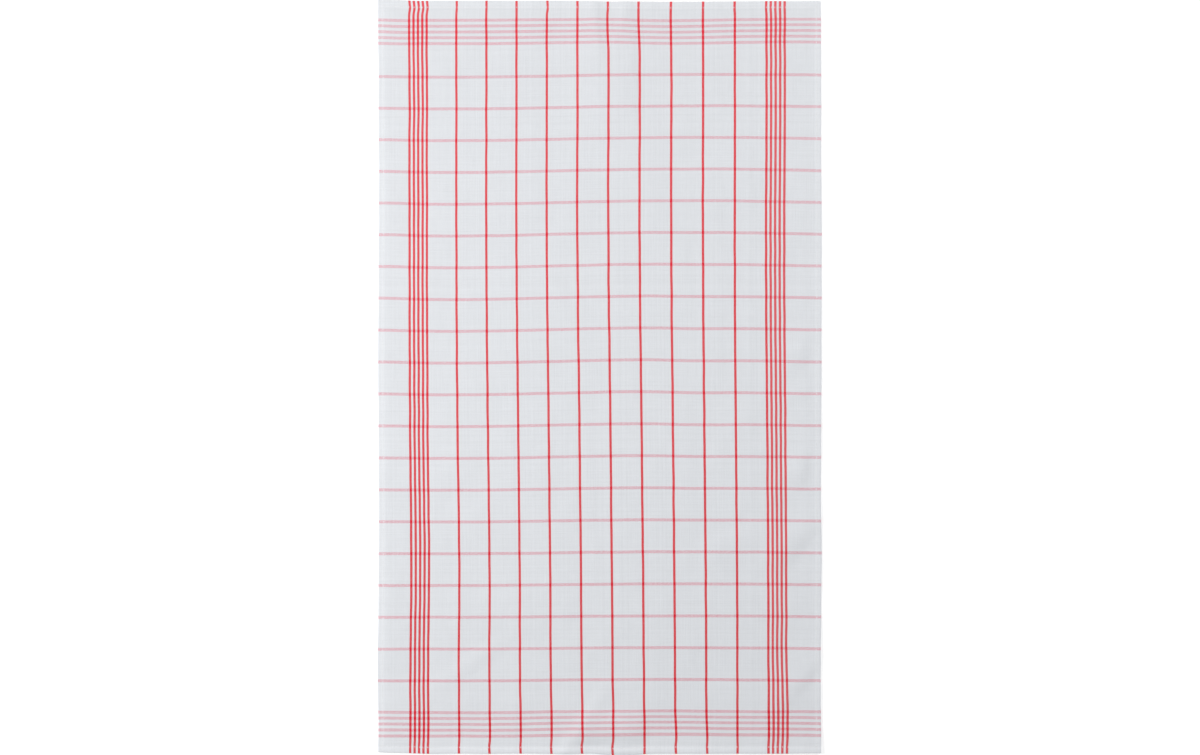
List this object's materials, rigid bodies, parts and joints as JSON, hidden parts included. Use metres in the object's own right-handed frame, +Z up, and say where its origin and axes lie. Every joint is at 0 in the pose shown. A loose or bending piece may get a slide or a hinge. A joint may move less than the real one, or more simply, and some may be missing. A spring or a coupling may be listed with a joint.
{
  "type": "tea towel",
  "caption": "Flat rectangular cotton tea towel, white with a red windowpane check, hemmed along every side and lying face up with a few low ripples.",
  "frame": {"origin": "middle of the towel's underside, in the plane it rests on", "axes": "+X across the width, +Y along the length towards the upper end in the picture, +Z up through the face"},
  "size_m": [0.501, 0.8545, 0.005],
  "materials": {
    "checked_cotton": "matt plain-woven white cotton with a check of thin red stripes, hems stitched in white"
  },
  "bodies": {
    "root": {"cloth": "checked_cotton"}
  },
  "joints": []
}
